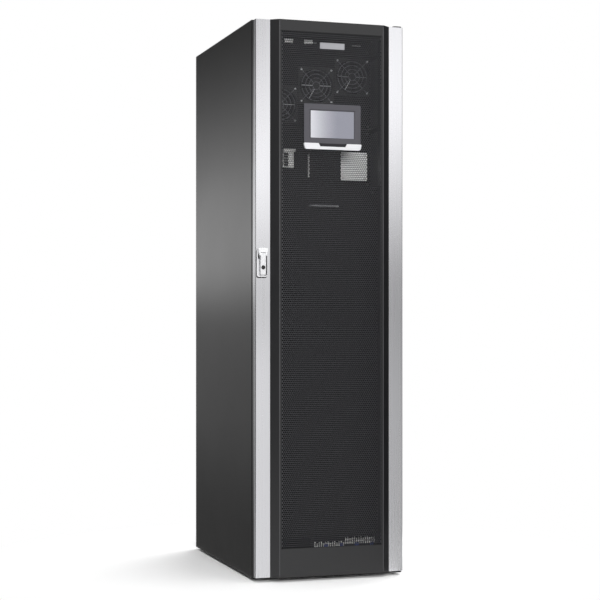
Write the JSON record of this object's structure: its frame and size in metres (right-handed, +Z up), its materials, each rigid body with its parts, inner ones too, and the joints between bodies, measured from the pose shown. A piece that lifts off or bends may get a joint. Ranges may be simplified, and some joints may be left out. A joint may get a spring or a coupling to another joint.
{
  "type": "modular ups cabinet",
  "caption": "Tall free-standing UPS cabinet with a hinged perforated front door between silver trims, a display, a swing handle and fan-cooled modules behind the door.",
  "frame": {"origin": "centre of the bounding box at floor level, under the levelling feet", "axes": "+Z up, -Y out of the front door, +X to the right as seen from the front"},
  "size_m": [0.488, 0.782, 1.75],
  "materials": {
    "cabinet_grey": "satin dark grey powder coat",
    "frame_black": "satin black powder coat",
    "door_black": "satin black powder coat",
    "trim_silver": "fine vertical brushed silver",
    "module_black": "matt black front",
    "fan_black": "matt black moulding",
    "guard_steel": "bright plated wire and sheet",
    "display_grey": "satin grey moulding",
    "screen_light": "smooth light screen",
    "status_dark": "smooth dark lens",
    "handle_chrome": "bright satin chrome",
    "lock_black": "matt black",
    "terminal_pale": "matt pale grey moulding",
    "foot_rubber": "matt black"
  },
  "bodies": {
    "cabinet": {"left_side_panel": "cabinet_grey", "right_side_panel": "cabinet_grey", "roof_panel": "cabinet_grey", "rear_panel": "cabinet_grey", "rear_exhaust_grille": "cabinet_grey", "base_side_rails": "frame_black", "base_cross_rails": "frame_black", "floor_plate": "frame_black", "front_posts": "frame_black", "rear_posts": "frame_black", "top_rails": "frame_black", "module_runners": "frame_black", "hinge_brackets": "frame_black", "slot_covers": "module_black", "communication_tray": "module_black", "power_module": "module_black", "connection_module": "module_black", "battery_module": "module_black", "fan_frame_left": "fan_black", "fan_frame_middle": "fan_black", "fan_frame_right": "fan_black", "finger_guard_left": "guard_steel", "finger_guard_middle": "guard_steel", "finger_guard_right": "guard_steel", "battery_grip": "guard_steel", "terminal_rail": "guard_steel", "terminal_blocks": "terminal_pale", "signal_terminals": "terminal_pale", "interface_card": "terminal_pale", "levelling_feet": "foot_rubber"},
    "door": {"door_panel": "door_black", "door_perforated_sheet": "door_black", "door_end_plates": "door_black", "door_stiles": "door_black", "door_left_trim": "trim_silver", "door_right_trim": "trim_silver", "display_housing": "display_grey", "display_screen": "screen_light", "display_trim": "trim_silver", "status_strip": "status_dark", "handle_plate": "handle_chrome", "latch_case": "door_black"},
    "handle_head": {"handle_head": "handle_chrome"},
    "handle_lever": {"handle_lever": "handle_chrome", "key_cylinder": "lock_black"},
    "fan_rotor_left": {"fan_rotor_left": "fan_black"},
    "fan_rotor_middle": {"fan_rotor_middle": "fan_black"},
    "fan_rotor_right": {"fan_rotor_right": "fan_black"}
  },
  "joints": [
    {"name": "door_hinge", "type": "hinge", "parent": "cabinet", "child": "door", "pos_m": [0.234, -0.347, 0], "axis": [0, 0, 1], "range_deg": [0, 120]},
    {"name": "handle_turn", "type": "hinge", "parent": "door", "child": "handle_head", "pos_m": [-0.225, -0.365, 1.0235], "axis": [0, 1, 0], "range_deg": [0, 90]},
    {"name": "handle_lift", "type": "hinge", "parent": "handle_head", "child": "handle_lever", "pos_m": [-0.225, -0.38, 1.017], "axis": [-1, 0, 0], "range_deg": [0, 40]},
    {"name": "fan_left_spin", "type": "hinge", "parent": "cabinet", "child": "fan_rotor_left", "pos_m": [-0.123, -0.227, 1.504], "axis": [0, 1, 0], "continuous": true},
    {"name": "fan_middle_spin", "type": "hinge", "parent": "cabinet", "child": "fan_rotor_middle", "pos_m": [0, -0.227, 1.569], "axis": [0, 1, 0], "continuous": true},
    {"name": "fan_right_spin", "type": "hinge", "parent": "cabinet", "child": "fan_rotor_right", "pos_m": [0.123, -0.227, 1.603], "axis": [0, 1, 0], "continuous": true}
  ]
}
